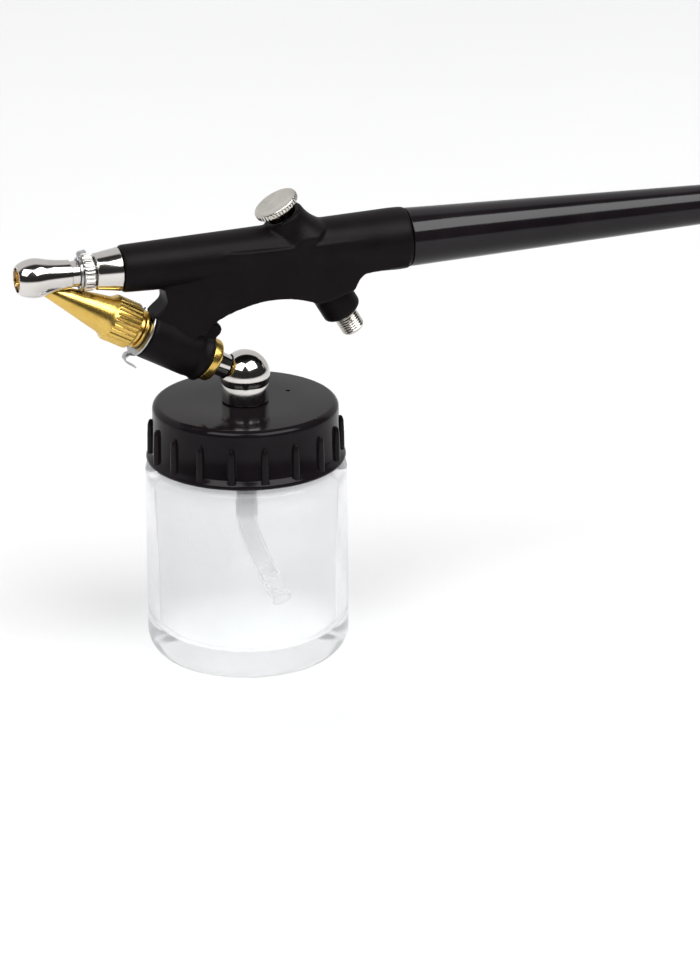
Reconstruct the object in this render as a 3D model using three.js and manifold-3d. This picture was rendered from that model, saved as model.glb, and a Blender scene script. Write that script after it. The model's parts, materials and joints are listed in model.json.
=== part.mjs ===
// Single-action, bottom-feed airbrush standing on its glass paint jar.
// Millimetres, +Z up. The origin is the middle of the jar's base, the barrel lies along X with the
// air horn at -X and the handle at +X, and the whole airbrush is symmetrical about the plane Y = 0.

import * as THREE from 'three';
import { mergeVertices } from 'three/addons/utils/BufferGeometryUtils.js';
import Module from 'manifold-3d';

const wasm = await Module();
wasm.setup();

// --- driving dimensions ---
const degree = Math.PI / 180;

const barrelHeight = 76.7; // barrel axis above the jar's base
const elbowHeight = 53.85; // where the paint axis leaves the jar's axis
const paintTilt = 29; // paint axis above the horizontal, in degrees
const valveX = 11.4; // where the valve axis crosses the barrel axis
const valveTilt = 30; // valve axis from the vertical, in degrees

const jarRadius = 18.5;
const jarHeel = 5.0; // rounded lower corner of the jar
const jarWall = 2.1;
const jarFloor = 5.0; // inner floor above the base
const jarShoulder = 37.2; // where the full-width glass ends
const neckRadius = 15.2;
const neckTop = 46.6;
const neckBore = 13.4;

const capBottom = 38.0;
const capTop = 48.8;
const capRadius = 17.05;
const capFlangeRadius = 18.27;
const capBore = 15.9;
const capRibs = 18;
const capRibFirst = -95.7; // direction of the first rib, degrees from +X
const stemHole = 2.4; // hole in the cap and its liner for the elbow's stem
const ventRadius = 0.4;
const ventX = 8.9;
const ventY = 2.4;

const elbowRadius = 4.6;
const elbowBaseTop = 52.3;
const elbowBaseRadius = 4.3;
const armRadius = 2.2;
const armBore = 1.3;

const barrelFront = -23.2; // X of the body's front face
const barrelRear = 30.8; // X of the body's rear face
const barrelFrontRadius = 4.3;
const barrelRearRadius = 5.7;
const panelHalfWidth = 5.16; // the flat side panels are this far from the middle plane
const webHalfWidth = 3.0;
const archRadius = 20; // finger arch under the body
const archX = 4.5;
const archTop = -7.55; // below the barrel axis
const housingRear = 8.9; // along the paint axis
const housingFront = 21.6;
const housingRadius = 4.65;

const buttonRadius = 4.25;
const buttonTop = 10.9; // along the valve axis
const buttonThickness = 1.6;
const upperBossTop = 8.0;
const lowerBossEnd = -14.9;
const bossRadius = 3.65;
const valveBore = 2.55;
const fittingRadius = 2.2;
const fittingEnd = -19.0;

const mouthX = -42.35; // X of the air horn's front lip
const lockRingFront = -30.4;
const lockRingRear = -28.4;
const noseFront = -28.1; // the nose cone starts behind the lock ring
const handleFrontX = 31.1;
const handleRearX = 127;
const handleFrontRadius = 5.38;
const handleRearRadius = 2.5;

// --- frames of the three axes: local +Z runs along the axis ---
function axisFrame(x, z, turn) {
  const frame = new THREE.Matrix4().makeRotationY(turn * degree);
  return frame.setPosition(x, 0, z);
}
const barrelFrame = axisFrame(0, barrelHeight, 90); // local z is world X
const paintFrame = axisFrame(0, elbowHeight, paintTilt - 90); // towards the horn's mouth
const valveFrame = axisFrame(valveX, barrelHeight, -valveTilt); // towards the button

// --- materials ---
function look(color, roughness, metalness, opacity = 1) {
  const transparent = opacity < 1;
  return new THREE.MeshStandardMaterial({ color, roughness, metalness, opacity, transparent });
}
const looks = {
  body: () => look(0x17171a, 0.55, 0.1),
  chrome: () => look(0xd9dbdd, 0.12, 1),
  nickel: () => look(0xc9c8c2, 0.3, 1),
  brass: () => look(0xc79a3b, 0.3, 1),
  steel: () => look(0xb9bbbd, 0.35, 1),
  glossBlack: () => look(0x0d0c0f, 0.15, 0),
  rubber: () => look(0x1a1a1a, 0.9, 0),
  liner: () => look(0xe8e8e2, 0.6, 0),
  glass: () => look(0xf2f6f7, 0.05, 0, 0.35),
  tube: () => look(0xe6e8e6, 0.4, 0, 0.7),
};

// --- geometry helpers ---
// Merges shared vertices, drops triangles that closed up on an axis, and turns faces outwards.
function weld(geometry) {
  const bare = geometry.clone();
  bare.deleteAttribute('normal');
  bare.deleteAttribute('uv');
  const merged = mergeVertices(bare, 1e-4);
  const at = merged.getAttribute('position');
  const index = merged.getIndex().array;
  const kept = [];
  let volume = 0;
  const a = new THREE.Vector3();
  const b = new THREE.Vector3();
  const c = new THREE.Vector3();
  for (let i = 0; i < index.length; i += 3) {
    const [p, q, r] = [index[i], index[i + 1], index[i + 2]];
    if (p === q || q === r || r === p) continue;
    kept.push(p, q, r);
    a.fromBufferAttribute(at, p);
    b.fromBufferAttribute(at, q);
    c.fromBufferAttribute(at, r);
    volume += a.dot(b.cross(c));
  }
  if (volume < 0) kept.reverse();
  merged.setIndex(kept);
  return merged;
}

function solid(geometry, frame = null) {
  const closed = weld(geometry);
  if (frame) closed.applyMatrix4(frame);
  const vertProperties = new Float32Array(closed.getAttribute('position').array);
  const triVerts = new Uint32Array(closed.getIndex().array);
  return new wasm.Manifold(new wasm.Mesh({ numProp: 3, vertProperties, triVerts }));
}

function geometryOf(manifold) {
  const mesh = manifold.getMesh();
  const geometry = new THREE.BufferGeometry();
  geometry.setAttribute('position', new THREE.BufferAttribute(mesh.vertProperties, 3));
  geometry.setIndex(new THREE.BufferAttribute(mesh.triVerts, 1));
  geometry.computeVertexNormals();
  return geometry;
}

// A body of revolution about +Z from [radius, height] points; the profile ends on the axis or
// closes on itself.
function turned(profile, segments = 24) {
  const points = profile.map(([r, z]) => new THREE.Vector2(r, z));
  return new THREE.LatheGeometry(points, segments).rotateX(Math.PI / 2);
}

// A turned tube: outer [radius, height] points from bottom to top, inner points from top to bottom.
function sleeve(outer, inner, segments = 24) {
  return turned([...outer, ...inner, outer[0]], segments);
}

function plainSleeve(outerRadius, innerRadius, bottom, top, segments = 20) {
  const outer = [[outerRadius, bottom], [outerRadius, top]];
  const inner = [[innerRadius, top], [innerRadius, bottom]];
  return sleeve(outer, inner, segments);
}

function rod(radius, bottom, top, segments = 20) {
  return turned([[0, bottom], [radius, bottom], [radius, top], [0, top]], segments);
}

// An outline extruded along Z from bottom to top.
function prism(shape, bottom, top) {
  const settings = { depth: top - bottom, bevelEnabled: false, curveSegments: 6 };
  return new THREE.ExtrudeGeometry(shape, settings).translate(0, 0, bottom);
}

// An outline in the XZ plane, given the same thickness on both sides of Y = 0.
function plate(points, halfWidth) {
  const shape = new THREE.Shape(points.map(([x, z]) => new THREE.Vector2(x, z)));
  return prism(shape, -halfWidth, halfWidth).rotateX(Math.PI / 2);
}

// A fluted ring such as a knurled rim: a toothed outline extruded along Z.
function fluted(teeth, tipRadius, rootRadius, bottom, top) {
  const points = [];
  for (let i = 0; i < teeth * 2; i += 1) {
    const radius = i % 2 ? rootRadius : tipRadius;
    const angle = (i * Math.PI) / teeth;
    points.push(new THREE.Vector2(radius * Math.cos(angle), radius * Math.sin(angle)));
  }
  return prism(new THREE.Shape(points), bottom, top);
}

// Half a circle of points for a rounded corner or bead.
function arc(centreRadius, centreHeight, radius, from, to, steps) {
  const points = [];
  for (let i = 0; i <= steps; i += 1) {
    const angle = (from + ((to - from) * i) / steps) * degree;
    points.push([centreRadius + radius * Math.cos(angle), centreHeight + radius * Math.sin(angle)]);
  }
  return points;
}

function ring(centreRadius, height, radius, segments = 18) {
  return turned(arc(centreRadius, height, radius, 0, 360, 6), segments);
}

function add(parent, name, geometry, material) {
  const mesh = new THREE.Mesh(geometry, material);
  mesh.name = name;
  parent.add(mesh);
}

// A group whose local +Z is the given axis.
function axisGroup(frame) {
  const group = new THREE.Group();
  frame.decompose(group.position, group.quaternion, group.scale);
  return group;
}

function barrelRadiusAt(x) {
  const share = (x - barrelFront) / (barrelRear - 2.2 - barrelFront);
  return barrelFrontRadius + share * (barrelRearRadius - barrelFrontRadius);
}

// --- body ---
function barrelSolid() {
  const taperEnd = barrelRear - 2.2;
  const profile = [
    [0, barrelFront],
    [barrelFrontRadius - 0.4, barrelFront],
    [barrelRadiusAt(barrelFront + 0.4), barrelFront + 0.4],
    [barrelRadiusAt(taperEnd), taperEnd],
    [barrelRearRadius - 0.25, barrelRear],
    [0, barrelRear],
  ];
  return solid(turned(profile, 32), barrelFrame);
}

// The web joins the barrel to the paint housing behind the notch.
function webSolid() {
  const outline = [
    [-12, -3.2],
    [-15.6, -3.9],
    [-15.1, -6.4],
    [-15.4, -7.2],
    [-17.6, -9.1],
    [-17.0, -10.6],
    [-13, -14],
    [-9, -15.5],
    [-8.2, -12],
    [-2, -6],
  ];
  return solid(plate(outline, webHalfWidth)).translate([0, 0, barrelHeight]);
}

// Flat side panels with the arch for the fingers below them. They thin down towards the web.
function panelSolid() {
  const arch = [];
  for (let i = 0; i <= 9; i += 1) {
    const angle = (126 - i * 6.6) * degree;
    const height = archTop - archRadius + archRadius * Math.sin(angle);
    arch.push([archX + archRadius * Math.cos(angle), height]);
  }
  const outline = [
    [-14.5, -3.4],
    [-13.4, -13.6],
    [-8.6, -13.4],
    ...arch,
    [14.5, -9.0],
    [19.6, -7.4],
    [21.2, -4.4],
    [30, -3.9],
    [30, 2.0],
    [-4, 2.2],
  ];
  const wedge = new THREE.Shape([
    new THREE.Vector2(-15, -webHalfWidth),
    new THREE.Vector2(-1, -panelHalfWidth),
    new THREE.Vector2(31, -panelHalfWidth),
    new THREE.Vector2(31, panelHalfWidth),
    new THREE.Vector2(-1, panelHalfWidth),
    new THREE.Vector2(-15, webHalfWidth),
  ]);
  const thick = solid(plate(outline, panelHalfWidth)).intersect(solid(prism(wedge, -20, 10)));
  return thick.translate([0, 0, barrelHeight]);
}

// A small rounded lug over the rear bush, where the arch ends.
function lugSolid() {
  const points = arc(-6.3, -12.9, 1.4, 130, -80, 6).concat([[-7.5, -16.5], [-11, -15.5], [-10, -12.4]]);
  return solid(plate(points, 2.4)).translate([0, 0, barrelHeight]);
}

function housingSolid() {
  const profile = [
    [0, housingRear],
    [housingRadius - 0.5, housingRear],
    [housingRadius + 0.15, housingRear + 0.4],
    [housingRadius + 0.15, housingRear + 1.5],
    [housingRadius - 0.15, housingRear + 1.9],
    [housingRadius, housingRear + 2.6],
    [housingRadius, housingFront - 0.3],
    [housingRadius - 0.3, housingFront],
    [0, housingFront],
  ];
  return solid(turned(profile, 28), paintFrame);
}

// Both valve bosses, no wider than the side panels where they spread into the barrel.
function bossSolid() {
  const upper = [
    [0, 0],
    [5.7, 2.6],
    [5.0, 3.8],
    [4.3, 5.2],
    [3.9, 6.6],
    [3.7, upperBossTop],
    [0, upperBossTop],
  ];
  const lower = [
    [0, lowerBossEnd],
    [bossRadius - 1.0, lowerBossEnd],
    [bossRadius - 0.3, lowerBossEnd + 0.3],
    [bossRadius, lowerBossEnd + 1.0],
    [bossRadius, lowerBossEnd + 4.6],
    [bossRadius + 0.6, lowerBossEnd + 6.2],
    [0, 0],
  ];
  const bosses = solid(turned(upper), valveFrame).add(solid(turned(lower), valveFrame));
  const slab = plate([[-5, 50], [35, 50], [35, 95], [-5, 95]], panelHalfWidth);
  return bosses.intersect(solid(slab));
}

function bodyGeometry() {
  let shell = barrelSolid();
  for (const piece of [webSolid(), panelSolid(), lugSolid(), housingSolid(), bossSolid()]) {
    shell = shell.add(piece);
  }

  const cuts = [
    [rod(1.3, -18, valveX, 12), barrelFrame], // air way from the valve to the horn
    [rod(3.2, barrelFront - 1, -17.3), barrelFrame], // seat of the nose cone's thread
    [rod(3.3, 22.6, barrelRear + 1), barrelFrame], // seat of the handle's thread
    [rod(3.3, housingRear - 1, 13.0), paintFrame], // seat of the rear bush
    [rod(2.6, 12, housingFront + 1), paintFrame], // seat of the tip carrier
    [rod(1.3, -4, 5, 16), valveFrame], // stem and valve seat
    [rod(2.6, 3.1, upperBossTop + 1), valveFrame], // seat of the stem guide
    [rod(valveBore, lowerBossEnd - 1, -3.1), valveFrame], // valve chamber
  ];
  for (const [geometry, frame] of cuts) shell = shell.subtract(solid(geometry, frame));
  return geometryOf(shell);
}

// --- front of the barrel ---
function noseConeGeometry() {
  const outer = [
    [3.1, noseFront],
    [3.3, noseFront + 0.2],
    [3.98, -23.7],
    [3.8, -23.5],
    [2.9, -23.5],
    [2.9, -17.6],
  ];
  const inner = [[1.4, -17.6], [1.4, -20.3], [2.65, -20.3], [2.65, noseFront]];
  return sleeve(outer, inner);
}

function lockRingGeometry() {
  const rim = solid(fluted(22, 3.3, 3.08, lockRingFront, lockRingRear));
  return geometryOf(rim.subtract(solid(rod(2.65, lockRingFront - 1, lockRingRear + 1))));
}

// A washer whose tab stands up in front of the lock ring and hooks back over it.
function tabWasherGeometry() {
  const rear = lockRingFront - 0.25;
  const front = rear - 0.35;
  const washer = solid(plainSleeve(3.0, 2.65, front, rear));
  const hook = [
    [rear, 2.8],
    [front, 2.8],
    [front - 0.15, 3.5],
    [rear, 4.05],
    [rear + 1.1, 4.15],
    [rear + 1.1, 3.9],
    [rear + 0.2, 3.8],
    [rear - 0.15, 3.4],
  ];
  // local z is world X and local -x is up
  const tab = plate(hook.map(([x, z]) => [-z, x]), 0.6);
  return geometryOf(washer.add(solid(tab)));
}

// The opening that the paint cone passes through, as wide as the cone and its clearance.
function coneClearance() {
  const cutter = turned([[0, 33], [3.5, 33], [0.95, 45.9], [0.95, 47.0], [0, 47.0]], 20);
  const frame = barrelFrame.clone().invert().multiply(paintFrame);
  return solid(cutter, frame);
}

function airHornGeometry() {
  const outer = [
    [2.35, mouthX],
    [2.6, mouthX + 0.15],
    [3.1, mouthX + 0.9],
    [3.45, mouthX + 1.9],
    [3.62, mouthX + 3.2],
    [3.4, mouthX + 4.4],
    [3.0, mouthX + 6.4],
    [2.72, mouthX + 8.4],
    [2.65, mouthX + 9.6],
    [2.35, mouthX + 9.9],
    [2.35, -21.0],
  ];
  const inner = [[1.5, -21.0], [1.5, -36.2], [2.2, -36.6], [2.2, mouthX]];
  return geometryOf(solid(sleeve(outer, inner)).subtract(coneClearance()));
}

function airNozzleGeometry() {
  const outer = [[1.95, -42.0], [1.95, -37.1]];
  const inner = [[1.2, -37.1], [1.7, -42.0]];
  return geometryOf(solid(sleeve(outer, inner, 20)).subtract(coneClearance()));
}

// --- paint axis ---
function rearBushGeometry() {
  const rear = housingRear - 2.1;
  const outer = [[3.6, rear], [4.0, rear + 0.4], [4.0, rear + 1.9], [3.0, rear + 1.9], [3.0, 11.0]];
  return sleeve(outer, [[armRadius + 0.2, 11.0], [armRadius + 0.2, rear]]);
}

// A C-shaped spring clip, open at the top, with a tab that hangs down and curls back.
function clipRingGeometry() {
  const washer = solid(plainSleeve(4.95, 2.8, 21.9, 22.2, 28));
  const opening = new THREE.BoxGeometry(6, 6.8, 2).translate(5.4, 0, 22);
  const hook = [
    [-4.5, 21.9],
    [-4.5, 22.2],
    [-4.8, 22.7],
    [-5.6, 23.0],
    [-6.3, 22.7],
    [-6.6, 21.6],
    [-6.75, 20.0],
    [-6.5, 20.0],
    [-6.35, 21.6],
    [-6.1, 22.4],
    [-5.6, 22.6],
    [-5.1, 22.3],
    [-4.85, 21.9],
  ];
  // local +x points up on the paint axis
  const tab = plate(hook, 0.8);
  return geometryOf(washer.subtract(solid(opening)).add(solid(tab)));
}

function tipCarrierGeometry() {
  const outer = [
    [2.3, 13.6],
    [2.3, 22.45],
    [3.6, 22.45],
    [3.6, 23.0],
    [2.9, 23.1],
    [2.9, 23.7],
    [2.2, 23.7],
    [2.2, 26.5],
  ];
  return sleeve(outer, [[1.35, 26.5], [1.35, 13.6]], 20);
}

// A round needle on a three-sided foot that leaves room for the paint to pass.
function needleGeometry() {
  const shaft = [[0, 23.5], [0.5, 23.5], [0.5, 38], [0.13, 46.2], [0, 46.2]];
  const foot = new THREE.CylinderGeometry(1.15, 1.15, 6, 3).rotateX(Math.PI / 2).translate(0, 0, 21);
  return geometryOf(solid(turned(shaft, 12)).add(solid(foot)));
}

function paintConeGeometry() {
  const cone = [
    [0, 24.0],
    [3.8, 24.0],
    [4.05, 24.3],
    [4.05, 29.0],
    [3.5, 30.1],
    [0.62, 45.4],
    [0.5, 45.6],
    [0, 45.6],
  ];
  const bore = [[0, 22], [2.5, 22], [2.5, 27.5], [1.8, 29.5], [0.33, 44.4], [0.33, 47], [0, 47]];
  const knurl = solid(fluted(26, 4.3, 4.02, 24.3, 29.0));
  return geometryOf(solid(turned(cone)).add(knurl).subtract(solid(turned(bore, 16))));
}

// --- valve ---
function buttonGeometry() {
  const bottom = buttonTop - buttonThickness;
  const disc = [
    [0, bottom],
    [buttonRadius - 0.7, bottom],
    [buttonRadius - 0.1, bottom + 0.5],
    [buttonRadius - 0.1, buttonTop - 0.35],
    [buttonRadius - 0.4, buttonTop],
    [buttonRadius - 0.9, buttonTop - 0.05],
    [0, buttonTop - 0.35],
  ];
  const rim = solid(fluted(30, buttonRadius, buttonRadius - 0.2, bottom + 0.5, buttonTop - 0.35));
  const socket = solid(rod(1.3, bottom - 1, bottom + 0.75, 16));
  return geometryOf(solid(turned(disc)).add(rim).subtract(socket));
}

function plungerGeometry() {
  const profile = [
    [0, -6.3],
    [1.0, -6.3],
    [1.0, -5.2],
    [1.95, -5.2],
    [1.95, -4.4],
    [0.8, -4.4],
    [0.8, 1.1],
    [0, 1.1],
  ];
  return turned(profile, 16);
}

function springGeometry() {
  const turns = 4.5;
  const points = [];
  const steps = turns * 8;
  for (let i = 0; i <= steps; i += 1) {
    const angle = (i / steps) * turns * 2 * Math.PI;
    const height = -12.0 + (i / steps) * 6.3;
    points.push(new THREE.Vector3(1.6 * Math.cos(angle), 1.6 * Math.sin(angle), height));
  }
  const section = new THREE.Shape().absarc(0, 0, 0.2, 0, 2 * Math.PI);
  const extrudePath = new THREE.CatmullRomCurve3(points);
  const settings = { steps, curveSegments: 3, bevelEnabled: false, extrudePath };
  return new THREE.ExtrudeGeometry(section, settings);
}

function airFittingGeometry() {
  const outer = [[fittingRadius - 0.3, fittingEnd]];
  for (let z = fittingEnd + 0.3; z < lowerBossEnd - 0.5; z += 0.7) {
    outer.push([fittingRadius, z], [fittingRadius - 0.25, z + 0.35]);
  }
  outer.push([fittingRadius, lowerBossEnd - 0.2], [fittingRadius, -12.6]);
  return sleeve(outer, [[1.1, -12.6], [1.1, fittingEnd]], 20);
}

// --- handle ---
function handleGeometry() {
  const radiusAt = (x) => {
    const share = (x - handleFrontX) / (handleRearX - handleFrontX);
    return handleFrontRadius + share * (handleRearRadius - handleFrontRadius);
  };
  const start = handleFrontX + 0.25;
  const outer = [[handleFrontRadius - 0.25, handleFrontX], [radiusAt(start), start]];
  const tip = arc(0, handleRearX - handleRearRadius, handleRearRadius, 0, 90, 4);
  const bore = [[0, 112], [1.0, 112], [2.9, 48], [2.9, handleFrontX]];
  return turned([...outer, ...tip, ...bore, outer[0]], 32);
}

function handleSpigotGeometry() {
  const end = barrelRear - 0.3;
  const profile = [[0, 23.0], [2.7, 23.0], [3.0, 23.3], [3.0, end], [2.6, end + 0.4], [2.6, 45], [0, 45]];
  return turned(profile);
}

// --- jar side ---
function jarGeometry() {
  const heel = arc(jarRadius - jarHeel, jarHeel, jarHeel, -90, 0, 4);
  const thread = [];
  for (const z of [40.0, 42.8]) {
    thread.push([neckRadius, z], [neckRadius + 0.45, z + 0.5], [neckRadius, z + 1.0]);
  }
  const inside = jarRadius - jarWall;
  const floorCorner = arc(inside - 2.4, jarFloor + 2.4, 2.4, 0, -90, 4);
  const profile = [
    [0, 0],
    ...heel,
    [jarRadius, jarShoulder - 1.2],
    [jarRadius - 0.5, jarShoulder - 0.3],
    [jarRadius - 1.4, jarShoulder],
    [neckRadius, jarShoulder + 0.4],
    ...thread,
    [neckRadius, neckTop - 0.3],
    [neckRadius - 0.3, neckTop],
    [neckBore, neckTop],
    [neckBore, jarShoulder + 0.5],
    [inside, jarShoulder - 2.6],
    ...floorCorner,
    [0, jarFloor],
  ];
  return turned(profile, 38);
}

function capGeometry() {
  const profile = [
    [capBore, capBottom],
    [capFlangeRadius - 0.3, capBottom],
    [capFlangeRadius, capBottom + 0.35],
    [capFlangeRadius - 0.15, capBottom + 1.0],
    [capRadius + 0.1, capBottom + 1.6],
    [capRadius, capTop - 1.6],
    ...arc(capRadius - 1.1, capTop - 1.1, 1.1, 20, 90, 3),
    [0, capTop],
    [0, capTop - 1.3],
    [capBore, capTop - 1.3],
    [capBore, capBottom],
  ];
  let cap = solid(turned(profile, 38));
  const ribHeight = 6.6;
  for (let i = 0; i < capRibs; i += 1) {
    const angle = (capRibFirst + (i * 360) / capRibs) * degree;
    const rib = new THREE.CylinderGeometry(0.55, 0.7, ribHeight, 6).rotateX(Math.PI / 2);
    rib.translate(capRadius + 0.3, 0, capBottom + 1.0 + ribHeight / 2).rotateZ(angle);
    cap = cap.add(solid(rib));
  }
  cap = cap.subtract(solid(rod(stemHole, capTop - 3, capTop + 1, 16)));
  cap = cap.subtract(solid(rod(ventRadius, capTop - 3, capTop + 1, 8)).translate([ventX, ventY, 0]));
  return geometryOf(cap);
}

function linerGeometry() {
  const disc = solid(plainSleeve(15.4, stemHole, neckTop + 0.2, neckTop + 0.7, 38));
  const vent = solid(rod(ventRadius, neckTop - 1, neckTop + 2, 8)).translate([ventX, ventY, 0]);
  return geometryOf(disc.subtract(vent));
}

function elbowBaseGeometry() {
  const bottom = capTop + 0.2;
  const lip = [[elbowBaseRadius - 0.1, bottom], [elbowBaseRadius + 0.15, bottom + 0.2]];
  const wall = [[elbowBaseRadius, bottom + 0.6], [elbowBaseRadius, elbowBaseTop]];
  return sleeve([...lip, ...wall], [[stemHole, elbowBaseTop], [stemHole, bottom]]);
}

function elbowGeometry() {
  const dome = arc(0, elbowHeight, elbowRadius, -16, 90, 7);
  const profile = [
    [0, 39.1],
    [1.2, 39.1],
    [1.2, 42.8],
    [2.1, 42.8],
    [2.1, elbowBaseTop + 0.2],
    ...dome,
  ];
  const riser = solid(rod(0.7, 38, elbowHeight + 0.5, 10));
  const socket = solid(rod(armRadius + 0.2, 2.4, 8), paintFrame);
  const across = solid(rod(0.7, 0, 3, 10), paintFrame);
  return geometryOf(solid(turned(profile, 28)).subtract(riser).subtract(across).subtract(socket));
}

function elbowNutGeometry() {
  const hexagon = new THREE.CylinderGeometry(4.1, 4.1, 2.6, 6).rotateX(Math.PI / 2).translate(0, 0, 45.1);
  return geometryOf(solid(hexagon).subtract(solid(rod(stemHole, 43, 47, 16))));
}

function siphonTubeGeometry() {
  const curve = new THREE.CatmullRomCurve3([
    new THREE.Vector3(0, 0, 38.2),
    new THREE.Vector3(0, 0, 31),
    new THREE.Vector3(0.1, 0, 25.5),
    new THREE.Vector3(2.8, 0, 17.5),
    new THREE.Vector3(6.6, 0, 9.0),
  ]);
  const section = new THREE.Shape().absarc(0, 0, 1.35, 0, 2 * Math.PI);
  section.holes.push(new THREE.Path().absarc(0, 0, 0.85, 0, 2 * Math.PI));
  const settings = { steps: 14, curveSegments: 5, bevelEnabled: false, extrudePath: curve };
  return new THREE.ExtrudeGeometry(section, settings);
}

// --- assembly ---
const airbrush = new THREE.Group();

add(airbrush, 'body', bodyGeometry(), looks.body());

const barrel = axisGroup(barrelFrame);
add(barrel, 'nose_cone', noseConeGeometry(), looks.chrome());
add(barrel, 'lock_ring', lockRingGeometry(), looks.chrome());
add(barrel, 'tab_washer', tabWasherGeometry(), looks.steel());
add(barrel, 'air_horn', airHornGeometry(), looks.chrome());
add(barrel, 'air_nozzle', airNozzleGeometry(), looks.brass());
add(barrel, 'handle', handleGeometry(), looks.glossBlack());
add(barrel, 'handle_spigot', handleSpigotGeometry(), looks.nickel());
airbrush.add(barrel);

const paint = axisGroup(paintFrame);
add(paint, 'arm_tube', plainSleeve(armRadius, armBore, 2.7, 13.2), looks.chrome());
add(paint, 'rear_bush', rearBushGeometry(), looks.brass());
add(paint, 'arm_seal', ring(2.75, 11.9, 0.4), looks.rubber());
add(paint, 'tip_carrier', tipCarrierGeometry(), looks.brass());
add(paint, 'clip_ring', clipRingGeometry(), looks.steel());
add(paint, 'fluid_needle', needleGeometry(), looks.steel());
add(paint, 'paint_cone', paintConeGeometry(), looks.brass());
airbrush.add(paint);

const valve = axisGroup(valveFrame);
add(valve, 'button', buttonGeometry(), looks.nickel());
add(valve, 'button_stem', rod(1.0, 1.4, buttonTop - 1.15, 14), looks.nickel());
add(valve, 'stem_guide', plainSleeve(2.3, 1.2, 4.6, upperBossTop - 2.0, 16), looks.brass());
add(valve, 'stem_o_ring', ring(1.75, 3.9, 0.5), looks.rubber());
add(valve, 'valve_plunger', plungerGeometry(), looks.brass());
add(valve, 'valve_seal', plainSleeve(2.1, 1.1, -4.1, -3.4, 16), looks.rubber());
add(valve, 'valve_spring', springGeometry(), looks.steel());
add(valve, 'air_fitting', airFittingGeometry(), looks.nickel());
airbrush.add(valve);

add(airbrush, 'elbow', elbowGeometry(), looks.chrome());
add(airbrush, 'elbow_base', elbowBaseGeometry(), looks.chrome());
add(airbrush, 'elbow_nut', elbowNutGeometry(), looks.nickel());
add(airbrush, 'jar_cap', capGeometry(), looks.glossBlack());
add(airbrush, 'cap_liner', linerGeometry(), looks.liner());
add(airbrush, 'siphon_sleeve', plainSleeve(1.95, 1.65, 27, 42.5), looks.tube());
add(airbrush, 'siphon_tube', siphonTubeGeometry(), looks.tube());
add(airbrush, 'jar', jarGeometry(), looks.glass());

export default airbrush;
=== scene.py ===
import json
import math

import bpy
from mathutils import Matrix, Vector


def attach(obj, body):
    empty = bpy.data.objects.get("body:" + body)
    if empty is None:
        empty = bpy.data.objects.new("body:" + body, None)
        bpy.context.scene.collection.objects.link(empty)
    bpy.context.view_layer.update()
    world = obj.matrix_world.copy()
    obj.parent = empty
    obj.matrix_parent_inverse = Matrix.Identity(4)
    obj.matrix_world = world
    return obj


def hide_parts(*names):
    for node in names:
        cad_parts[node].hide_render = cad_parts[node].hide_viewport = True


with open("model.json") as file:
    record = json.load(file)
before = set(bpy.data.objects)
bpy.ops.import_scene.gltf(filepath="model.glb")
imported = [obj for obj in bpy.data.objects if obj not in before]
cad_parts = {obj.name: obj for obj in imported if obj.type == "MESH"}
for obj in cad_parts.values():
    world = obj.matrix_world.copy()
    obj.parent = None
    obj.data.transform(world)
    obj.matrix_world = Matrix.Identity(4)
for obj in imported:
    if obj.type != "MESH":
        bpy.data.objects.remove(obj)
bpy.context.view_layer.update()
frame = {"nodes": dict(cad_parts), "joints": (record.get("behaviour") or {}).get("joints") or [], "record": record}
nodes = frame["nodes"]
joints = {j["name"]: j for j in frame["joints"]}
mounts = {m["name"]: m for m in frame["record"]["mounts"]}
print("frame loaded:", len(nodes), "nodes")

mm = 0.001  # pieces are modelled in millimetres on their own axis, then placed


def axisFrame(point, direction):
    z = Vector(direction).normalized()
    y = Vector((0, 1, 0))
    x = y.cross(z)
    turn = Matrix((x, y, z)).transposed().to_4x4()
    return Matrix.Translation(Vector(point)) @ turn


handleJoint = joints["handle_turn"]
swivelJoint = joints["siphon_swivel"]
pressJoint = joints["button_press"]
barrelZ = handleJoint["pos_m"][2]
press = Vector(pressJoint["axis"])
inlet = Vector(mounts["air_inlet"]["pos_m"])
inlet.y = 0
inletReach = 0.019  # from the barrel's axis to the end of the air fitting
barrelFrame = axisFrame((0, 0, barrelZ), (1, 0, 0))
paintFrame = axisFrame(swivelJoint["pos_m"], swivelJoint["axis"])
valveFrame = axisFrame(inlet - press * inletReach, -press)
jarFrame = Matrix.Identity(4)
paintAxis = tuple(Vector(swivelJoint["axis"]))
valveAxis = tuple(-press)


def deselectAll():
    if bpy.context.object and bpy.context.object.mode != "OBJECT":
        bpy.ops.object.mode_set(mode="OBJECT")
    bpy.ops.object.select_all(action="DESELECT")


def pick(*objects):
    deselectAll()
    for o in objects:
        o.select_set(True)
    bpy.context.view_layer.objects.active = objects[0]
    return objects[0]


def editMode(obj):
    pick(obj)
    bpy.ops.object.mode_set(mode="EDIT")
    bpy.ops.mesh.select_mode(type="VERT")


def objectMode():
    bpy.ops.object.mode_set(mode="OBJECT")


def selectVerts(obj, wanted):
    editMode(obj)
    bpy.ops.mesh.select_all(action="DESELECT")
    objectMode()
    for v in obj.data.vertices:
        v.select = bool(wanted(v.co))
    bpy.ops.object.mode_set(mode="EDIT")


def drawLine(name, points):
    # one vertex, extruded from point to point
    deselectAll()
    bpy.ops.mesh.primitive_plane_add(size=0.5)
    obj = bpy.context.object
    obj.name = obj.data.name = name
    bpy.ops.object.mode_set(mode="EDIT")
    bpy.ops.mesh.select_mode(type="VERT")
    bpy.ops.mesh.select_all(action="SELECT")
    bpy.ops.mesh.merge(type="CENTER")
    bpy.ops.transform.translate(value=points[0])
    for a, b in zip(points, points[1:]):
        step = Vector(b) - Vector(a)
        bpy.ops.mesh.extrude_region_move(TRANSFORM_OT_translate={"value": step})
    return obj


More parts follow.
